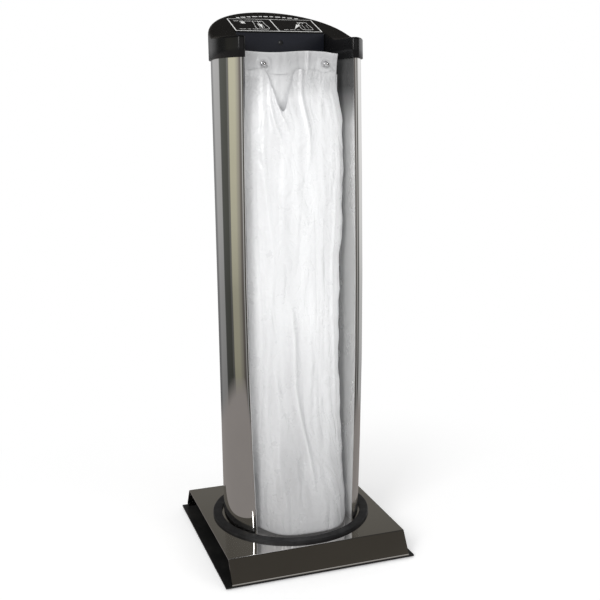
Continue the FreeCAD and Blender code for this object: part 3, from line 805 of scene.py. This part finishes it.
# ---------------------------------------------------------------- nuts
def add_dome_nut(name, node, low, high, body):
    """Cap nut along -Y: a hexagon with chamfered corners that turns into a round dome. Its radius
    at an angle is the smaller of the hexagon's flat-sided radius and a chamfer cone's radius."""
    x = (low[0] + high[0]) / 2
    z = (low[2] + high[2]) / 2
    seat, tip = high[1], low[1]
    flat = 4.45 * MM
    dome_r = 4.2 * MM
    angle = np.linspace(0, 2 * np.pi, 120, endpoint=False)
    wedge = np.mod(angle + np.pi / 6, np.pi / 3) - np.pi / 6
    hexagon = flat / np.cos(wedge)
    length = seat - tip
    dome_from = 5.2 * MM
    # millimetres out from the seat, and the chamfer cone's radius there
    depth_and_cone = ((0.0, 4.5), (0.35, 4.95), (0.8, 9.0), (4.2, 9.0), (4.9, 4.8), (5.1, 4.3))
    loops = [(seat - depth * MM, np.minimum(hexagon, cone * MM)) for depth, cone in depth_and_cone]
    for a in np.radians(np.linspace(0, 84, 12)):
        radius = dome_r * math.cos(a)
        depth = dome_from + (length - dome_from) * math.sin(a)
        loops.append((seat - depth, np.full(angle.shape, radius)))
    points = np.stack([
        np.stack([x + r * np.cos(angle), np.full(angle.shape, y), z + r * np.sin(angle)], axis=1)
        for y, r in loops
    ])
    steel = polished_steel(name + "_plate", (0.84, 0.84, 0.85), haze=0.06)
    nut = capped_piece(name + "_cap", points, steel, body)
    weld(nut)
    sharpen(nut, 35.0)
    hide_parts(node)


# ---------------------------------------------------------------- bags
def crease(x, z, x_top, x_foot, width, depth, z_low, z_high, seed=0.0):
    """One upright fold in film: a ridge along a slanted line that fades out at both ends. Its
    places across are in metres and its depth in millimetres."""
    share = (z - z_low) / (z_high - z_low)
    line = x_foot + (x_top - x_foot) * share + 0.004 * np.sin(9.0 * share + seed)
    fade = smoothstep(share / 0.25) * smoothstep((1 - share) / 0.25)
    return depth * MM * fade * bump(x, line, width)


# x at its top, x at its foot, width, depth, lowest and highest z, and the phase of its sway
BAG_FOLDS = (
    (-0.058, -0.018, 0.0034, 4.5, 0.76, 0.935, 1.0),
    (-0.064, -0.030, 0.0034, 4.0, 0.74, 0.935, 1.4),
    (-0.066, -0.054, 0.0050, 3.0, 0.52, 0.95, 0.5),
    (0.012, 0.016, 0.0036, 4.5, 0.70, 0.99, 0.0),
    (0.052, 0.040, 0.0060, 1.6, 0.50, 0.95, 5.0),
    (-0.026, -0.058, 0.010, 2.2, 0.30, 0.82, 1.0),
    (0.010, 0.024, 0.009, -1.6, 0.36, 0.80, 3.0),
    (0.046, 0.054, 0.007, 1.8, 0.12, 0.76, 5.0),
    (-0.026, 0.010, 0.0050, 7.5, 0.10, 0.50, 0.0),
    (-0.032, -0.004, 0.0090, -3.0, 0.09, 0.44, 0.0),
    (-0.050, -0.046, 0.0060, 3.0, 0.07, 0.40, 2.0),
    (0.034, 0.040, 0.0080, -2.5, 0.08, 0.38, 2.0),
    (-0.070, -0.074, 0.004, -2.5, 0.10, 0.84, 4.0),
    (0.072, 0.064, 0.004, 2.5, 0.20, 0.78, 6.0),
)


def add_front_bag():
    """Open-topped film tube. Across its section the angle a runs once round: the back lies flat on
    the pack and the front is drawn out by belly(z) (1 - |x|^n), where x runs from -1 to 1 and n is
    2.4, growing to 3.7 at the foot. The tube is gathered at the top and wider below, and a seam
    closes its foot. The front film's top edge sags in a V beside the left stud and stands forward
    there."""
    columns, rows = 260, 320
    z0 = bag_low[2]
    z1 = bag_high[2] + 6.0 * MM
    back_y = bag_high[1] + 0.9 * MM
    v = np.linspace(0, 1, rows)[:, None]
    u = np.linspace(0, 2 * np.pi, columns, endpoint=False)[None, :]
    side = np.cos(u)
    front = np.sin(u) > 0
    x_share = np.sign(side) * (1 - (1 - np.abs(side)) ** 1.25)
    z = z0 + (z1 - z0) * v + 0 * u

    foot = smoothstep((0.32 - z) / 0.26)
    full = smoothstep((z - 0.53) / 0.08) * smoothstep((0.865 - z) / 0.07)
    wave = (1.0 * np.sin(27 * z + 0.6) + 0.8 * np.sin(61 * z + 2.0) + 0.5 * np.sin(143 * z)) * MM
    right_half = 80.0 * MM + 8.0 * MM * full + 11.0 * MM * foot - 4.0 * MM * bump(z, 0.89, 0.03) + wave
    left_half = 90.5 * MM + 3.0 * MM * smoothstep((0.90 - z) / 0.2) - 4.0 * MM * foot + 0.3 * wave
    half = np.where(x_share > 0, right_half, left_half)
    x = x_share * half

    mouth_x, mouth_half, mouth_round = -0.027, 0.030, 0.010
    away = np.sqrt((x - mouth_x) ** 2 + mouth_round ** 2)
    vee = np.clip((mouth_half - away) / (mouth_half - mouth_round), 0, 1) ** 1.4
    near_top = smoothstep((z - 0.72) / (z1 - 0.72))
    torn = (2.2 * np.sin(70 * x + 0.5) + 1.2 * np.sin(190 * x + 1.0)) * MM
    z = z + np.where(front, torn - 68.0 * MM * vee, 0.0) * near_top

    belly = 19.0 * MM + 52.0 * MM * smoothstep((0.33 - z) / 0.30) ** 1.25
    belly = belly * (1 - 0.93 * smoothstep((z - 0.775) / 0.09))
    bulge = belly * (1 - np.abs(x_share) ** (2.4 + 1.3 * foot))
    gape = 5.0 * MM * bump(x, mouth_x, 0.024) * smoothstep((z - 0.76) / 0.06)
    folds = sum(crease(x, z, *fold) for fold in BAG_FOLDS)
    slanted = np.sin(210 * (z - 0.55 * x) + 0.8) * bump(x, 0.056, 0.014)
    crinkle = 0.35 * MM * slanted * (bump(z, 0.70, 0.07) + bump(z, 0.31, 0.09))
    slack = 0.35 * MM * np.sin(58 * x - 16 * z + 0.7) + 0.25 * MM * np.sin(118 * x + 7 * z + 1.3)
    soft = (folds + slack * smoothstep((0.87 - z) / 0.1) + crinkle) * (1 - np.abs(x_share) ** 8)
    over_header = smoothstep((z - bag_high[2] + 6.0 * MM) / (6.0 * MM)) * 1.2 * MM
    out = np.maximum(bulge + gape + soft, 0.5 * MM + over_header)
    behind = 0.6 * MM * np.sin(70 * x + 9 * z) * (1 - x_share ** 4)
    y = np.where(front, back_y - out, back_y + 0.3 * MM + np.minimum(behind, 0.0))
    points = np.stack([x, y, z], axis=-1)

    middle = back_y - 0.5 * bulge[0]
    seam = []
    for share, drop in ((0.0, 1.0), (0.6, 0.7), (0.9, 0.3)):
        loop = points[0].copy()
        loop[:, 1] = middle + (loop[:, 1] - middle) * share
        loop[:, 2] = z0 - drop * MM
        seam.append(loop)
    points = np.concatenate([np.stack(seam), points])
    # The film darkens towards the mouth: painted shade inside the V and under the hood.
    film = milky_film("bag_film_milky", grey_foot=0.44, light_top=0.84, mouth_shade_grey=0.24,
                      mouth_shade_from=0.84)
    faces = grid_faces(points.shape[0], columns, close_columns=True)
    bag = piece_from("front_bag_film", points, faces, film, "open_bag")
    weld(bag, 0.05 * MM)
    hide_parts("front_bag")


def add_header():
    """Punched top ends of the bags: a thick sheaf, wavy on top, dented round each stud, its
    right-hand corner curled forward."""
    columns, rows = 150, 34
    more_left, less_right = 8.5 * MM, 4.0 * MM
    x0, x1 = header_low[0] - more_left, header_high[0] - less_right
    z0, z1 = header_low[2] - 0.4 * MM, header_high[2]
    x = np.linspace(x0, x1, columns)[None, :]
    t = np.linspace(0, 1, rows)[:, None]
    top = z1 - 1.5 * MM + 1.5 * MM * np.sin(46 * x + 0.4) - 2.0 * MM * smoothstep((x - 0.056) / 0.02)
    z = z0 + (top - z0) * t
    x = x + 0 * t
    dent = 0.0
    for centre in (-stud_x, stud_x):
        away = np.sqrt((x - centre) ** 2 + (z - stud_z) ** 2)
        dent = dent - 2.2 * MM * bump(away, 0.010, 0.0045) + 1.6 * MM * bump(away, 0.0, 0.006)
    fold = 3.0 * MM * bump(x, 0.022 + 0.10 * (z - z0), 0.0035)
    pulls = 0.9 * MM * np.sin(95 * x + 1.0) * (1 - t) + 0.8 * MM * np.sin(58 * x + 0.3)
    curl = 7.0 * MM * smoothstep((x - 0.058) / 0.02) * t ** 2
    front = header_low[1] - 0.7 * MM + dent - fold + pulls - curl
    back = header_high[1] + 0 * front
    layers = 14
    loops = []
    edge = []
    for k in range(layers + 1):
        share = k / layers
        y = front * (1 - share) + back * share
        shrink = 0.9 * MM * math.sin(k * 2.4) + 0.5 * MM
        scale = 1 - abs(shrink) / x1
        drop = abs(0.8 * MM * math.sin(k * 1.7)) * t
        grid = np.stack([x * scale, y, z - drop], axis=-1)
        loops.append(grid)
        edge.append(np.concatenate([grid[0, :-1], grid[:-1, -1], grid[-1, :0:-1], grid[:0:-1, 0]]))
    first, last = loops[0], loops[-1]
    band = np.stack(edge)
    # A darker copy of the bag film, greyer still towards its top: painted shade under the hood.
    film = milky_film("header_film_painted_shade", grey_foot=0.42, light_top=0.60, gloss=0.34, mouth_shade_grey=0.30,
                      mouth_shade_from=0.88)
    parts = [
        (first.reshape(-1, 3), grid_faces(rows, columns)),
        (last.reshape(-1, 3), grid_faces(rows, columns, flip=True)),
        (band.reshape(-1, 3), grid_faces(band.shape[0], band.shape[1], close_columns=True, flip=True)),
    ]
    verts = np.concatenate([p for p, _ in parts])
    faces = []
    first_vert = 0
    for p, f in parts:
        faces.append(f + first_vert)
        first_vert += len(p)
    header = piece_from("header_sheaf", verts, np.concatenate(faces), film, "bag_pack")
    weld(header)
    sharpen(header, 50.0)
    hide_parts("bag_header")


def add_stack():
    """The bags behind the front one: a tall sheaf whose side edges step in and out, layer by layer."""
    layers, rows = 60, 120
    z0, z1 = stack_low[2], stack_high[2]
    half = stack_high[0]
    front = stack_low[1] + 0.8 * MM
    back = stack_high[1]
    k = np.arange(layers)
    z = np.linspace(z0, z1, rows)
    step = np.sin(k * 2.39996) * 0.5 + np.sin(k * 0.9 + 1.0) * 0.5
    wave = np.sin(21 * z[:, None] + k * 0.23) + 0.6 * np.sin(47 * z[:, None] + k * 0.51)
    right = half - (1.6 + step[None, :] + 0.7 * wave) * MM
    left = -half + (1.6 - step[None, :] + 0.7 * wave) * MM
    y = np.linspace(front, back, layers)[None, :] + 0 * right
    zz = z[:, None] + 0 * right
    across = 40
    s = np.linspace(-1, 1, across)[None, :]
    front_x = (left[:, :1] + right[:, :1]) / 2 + (right[:, :1] - left[:, :1]) / 2 * s
    ripple = 0.8 * MM * np.sin(80 * front_x + 6 * z[:, None]) * (1 - s ** 4)
    front_y_line = front + np.maximum(ripple, -0.6 * MM)
    loop = np.concatenate([
        np.stack([front_x, front_y_line, z[:, None] + 0 * front_x], axis=-1)[:, :-1],
        np.stack([right, y, zz], axis=-1),
        np.stack([left, y, zz], axis=-1)[:, ::-1],
    ], axis=1)
    # A darker copy of the bag film, greyer towards its top: painted shade behind the front bag and
    # under the hood.
    film = milky_film("stack_film_painted_shade", grey_foot=0.50, light_top=0.62, gloss=0.36, mouth_shade_grey=0.6)
    stack = capped_piece("bag_stack_sheaf", loop, film, "bag_pack")
    weld(stack)
    sharpen(stack, 50.0)
    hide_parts("bag_stack")


# ---------------------------------------------------------------- studio
def add_floor():
    """White floor: it takes soft shadows near the column and glows evenly further away."""
    f = Finish("studio_floor", (0.86, 0.86, 0.86), 0.9, Specular_IOR_Level=0.1,
               Emission_Color=(1.0, 1.0, 1.0, 1.0), Emission_Strength=0.30)
    nodes, links = f.nodes, f.links
    away = nodes.new("ShaderNodeVectorMath")
    away.operation = "LENGTH"
    links.new(f.place, away.inputs[0])
    fade = f.new("ShaderNodeMapRange", From_Min=0.15, From_Max=0.85)
    fade.interpolation_type = "SMOOTHSTEP"
    links.new(away.outputs["Value"], fade.inputs["Value"])
    glow = f.new("ShaderNodeEmission", Strength=1.0)
    mix = nodes.new("ShaderNodeMixShader")
    links.new(fade.outputs["Result"], mix.inputs[0])
    links.new(f.shader.outputs[0], mix.inputs[1])
    links.new(glow.outputs[0], mix.inputs[2])
    links.new(mix.outputs[0], nodes["Material Output"].inputs["Surface"])
    mesh = bpy.data.meshes.new("studio_floor")
    reach = 14.0
    corners = [(-reach, -reach, 0), (reach, -reach, 0), (reach, reach, 0), (-reach, reach, 0)]
    mesh.from_pydata(corners, [], [(0, 1, 2, 3)])
    floor = placed("studio_floor", mesh)
    mesh.materials.append(f.material)
    floor.visible_glossy = False


# Where the camera stands round the column, in degrees from -Y towards -X
CAMERA_AZIMUTH = 18.73
DARK = (0.105, 0.108, 0.096)
BEIGE = (0.62, 0.60, 0.46)
PALE = (0.50, 0.50, 0.50)
WHITE = (0.95, 0.95, 0.95)
BROWN = (0.20, 0.185, 0.175)
LIP = (0.62, 0.62, 0.61)
# Degrees round the room from the camera, and the colour there
ROOM_BANDS = (
    (-180, (0.55, 0.55, 0.55)), (-150, WHITE), (-118, (0.75, 0.75, 0.75)), (-96, DARK), (-60, DARK),
    (-52, BROWN), (-47, BROWN), (-44, LIP), (-31, LIP), (-28, BROWN), (0, BROWN),
    (45, (0.22, 0.20, 0.18)), (66, (0.45, 0.43, 0.36)), (72, BEIGE), (88, BEIGE),
    (91, (0.16, 0.16, 0.15)), (93, (0.24, 0.24, 0.23)), (97, DARK), (122, (0.12, 0.125, 0.115)),
    (126, PALE), (152, PALE), (162, (0.25, 0.25, 0.25)),
)
# Degrees above the level, and a share or a colour
ROOM_IS_WALL = ((-19.0, 0.0), (-17.6, 1.0), (13, 1.0), (19, 0.0))
WALL_LIGHT = ((-18, 0.42), (-12, 0.55), (-6, 0.78), (3, 1.0))
ROOM_FLOOR_TO_CEILING = (
    (-90, (0.25, 0.235, 0.22)), (-15, (0.27, 0.25, 0.24)), (14, (0.20, 0.19, 0.18)),
    (24, (0.13, 0.124, 0.11)), (33, (0.055, 0.050, 0.042)), (50, (0.035, 0.032, 0.028)),
    (75, (0.05, 0.05, 0.05)), (90, (0.10, 0.10, 0.10)),
)


def add_world():
    """White to the eye; a room of upright bands and a grey-brown floor to what reflects."""
    world = bpy.data.worlds.new("studio")
    bpy.context.scene.world = world
    world.use_nodes = True
    tree = world.node_tree
    nodes, links = tree.nodes, tree.links
    nodes.clear()

    def add(kind, **values):
        node = nodes.new(kind)
        for key, value in values.items():
            setattr(node, key, value)
        return node

    def ramp(value, stops):
        node = add("ShaderNodeValToRGB")
        links.new(value, node.inputs["Fac"])
        elements = node.color_ramp.elements
        while len(elements) > 1:
            elements.remove(elements[-1])
        for k, (at, colour) in enumerate(stops):
            element = elements[0] if k == 0 else elements.new(at)
            element.position = at
            element.color = (*colour, 1.0)
        return node.outputs["Color"]

    def ramp_up(stops):
        return ramp(up, [((degrees + 90) / 180.0, colour) for degrees, colour in stops])

    def background(strength):
        return set_inputs(add("ShaderNodeBackground"), Color=(1.0, 1.0, 1.0, 1.0), Strength=strength)

    direction = add("ShaderNodeTexCoord").outputs["Generated"]
    split = add("ShaderNodeSeparateXYZ")
    links.new(direction, split.inputs["Vector"])
    x, y, z = split.outputs
    turn = maths(tree, "ARCTAN2", maths(tree, "MULTIPLY", x, -1.0), maths(tree, "MULTIPLY", y, -1.0))
    turns = maths(tree, "DIVIDE", turn, 2 * math.pi)
    around = maths(tree, "FRACT", maths(tree, "ADD", turns, 1.0))
    half_turns = maths(tree, "MULTIPLY", maths(tree, "ARCSINE", z), 1 / math.pi)
    up = maths(tree, "ADD", half_turns, 0.5)

    stops = [((degrees + CAMERA_AZIMUTH) / 360.0 % 1.0, colour) for degrees, colour in ROOM_BANDS]
    bands = ramp(around, sorted(stops))
    heights = ramp_up([(degrees, (share,) * 3) for degrees, share in ROOM_IS_WALL])
    above = ramp_up(ROOM_FLOOR_TO_CEILING)
    dimmer = ramp_up([(degrees, (share,) * 3) for degrees, share in WALL_LIGHT])
    wall = add("ShaderNodeMix", data_type="RGBA", blend_type="MULTIPLY")
    wall.inputs[0].default_value = 1.0
    links.new(bands, wall.inputs[6])
    links.new(dimmer, wall.inputs[7])
    room = add("ShaderNodeMix", data_type="RGBA")
    links.new(heights, room.inputs[0])
    links.new(above, room.inputs[6])
    links.new(wall.outputs[2], room.inputs[7])

    seen, soft, mirrored = background(1.0), background(0.50), background(1.0)
    links.new(room.outputs[2], mirrored.inputs["Color"])
    path = add("ShaderNodeLightPath")
    glossy = add("ShaderNodeMixShader")
    links.new(path.outputs["Is Glossy Ray"], glossy.inputs[0])
    links.new(soft.outputs[0], glossy.inputs[1])
    links.new(mirrored.outputs[0], glossy.inputs[2])
    final = add("ShaderNodeMixShader")
    links.new(path.outputs["Is Camera Ray"], final.inputs[0])
    links.new(glossy.outputs[0], final.inputs[1])
    links.new(seen.outputs[0], final.inputs[2])
    output = add("ShaderNodeOutputWorld")
    links.new(final.outputs[0], output.inputs["Surface"])


def add_area(name, place, target, size, power, mirrored):
    """A softbox, which shows in polished metal only if it is mirrored."""
    light = bpy.data.lights.new(name, "AREA")
    light.shape = "RECTANGLE"
    light.size, light.size_y = size
    light.energy = power
    obj = placed(name, light)
    look(obj, place, target)
    obj.visible_glossy = mirrored


def look(obj, place, target, roll=0.0):
    """Stands an object at a place and points its -Z at a target, rolled about that line."""
    d = np.array(target, float) - np.array(place, float)
    d /= np.linalg.norm(d)
    right = np.cross(d, (0.0, 0.0, 1.0))
    right /= np.linalg.norm(right)
    up = np.cross(right, d)
    c, s = math.cos(roll), math.sin(roll)
    x_axis = c * right + s * up
    y_axis = -s * right + c * up
    matrix = [[x_axis[k], y_axis[k], -d[k], place[k]] for k in range(3)] + [[0, 0, 0, 1]]
    obj.matrix_world = Matrix(matrix)


def add_camera():
    lens = bpy.data.cameras.new("studio_camera")
    lens.sensor_width = 36.0
    lens.lens = 55.4
    camera = placed("studio_camera", lens)
    place, target = (-0.5262, -1.6239, 0.8157), (0.0246, 0.0, 0.4665)
    look(camera, place, target, roll=math.radians(-0.69))
    bpy.context.scene.camera = camera


bpy.context.scene.view_settings.view_transform = "Standard"
add_camera()
add_world()
add_floor()
add_area("key_softbox", (-1.9, -1.9, 1.9), (0, 0, 0.55), (1.0, 1.6), 46.0, True)
add_area("fill_softbox", (1.8, -2.4, 1.2), (0, 0, 0.5), (1.2, 1.8), 15.0, False)
add_area("top_softbox", (0.3, 0.9, 2.6), (0, 0, 0.8), (1.6, 1.2), 10.0, False)

dress_frame()
add_column()
add_ring()
add_hood()
add_front_panel()
add_label()
add_dome_nut("left_dome_nut", "left_dome_nut", left_nut_low, left_nut_high, "left_nut")
add_dome_nut("right_dome_nut", "right_dome_nut", right_nut_low, right_nut_high, "right_nut")
add_header()
add_stack()
add_front_bag()
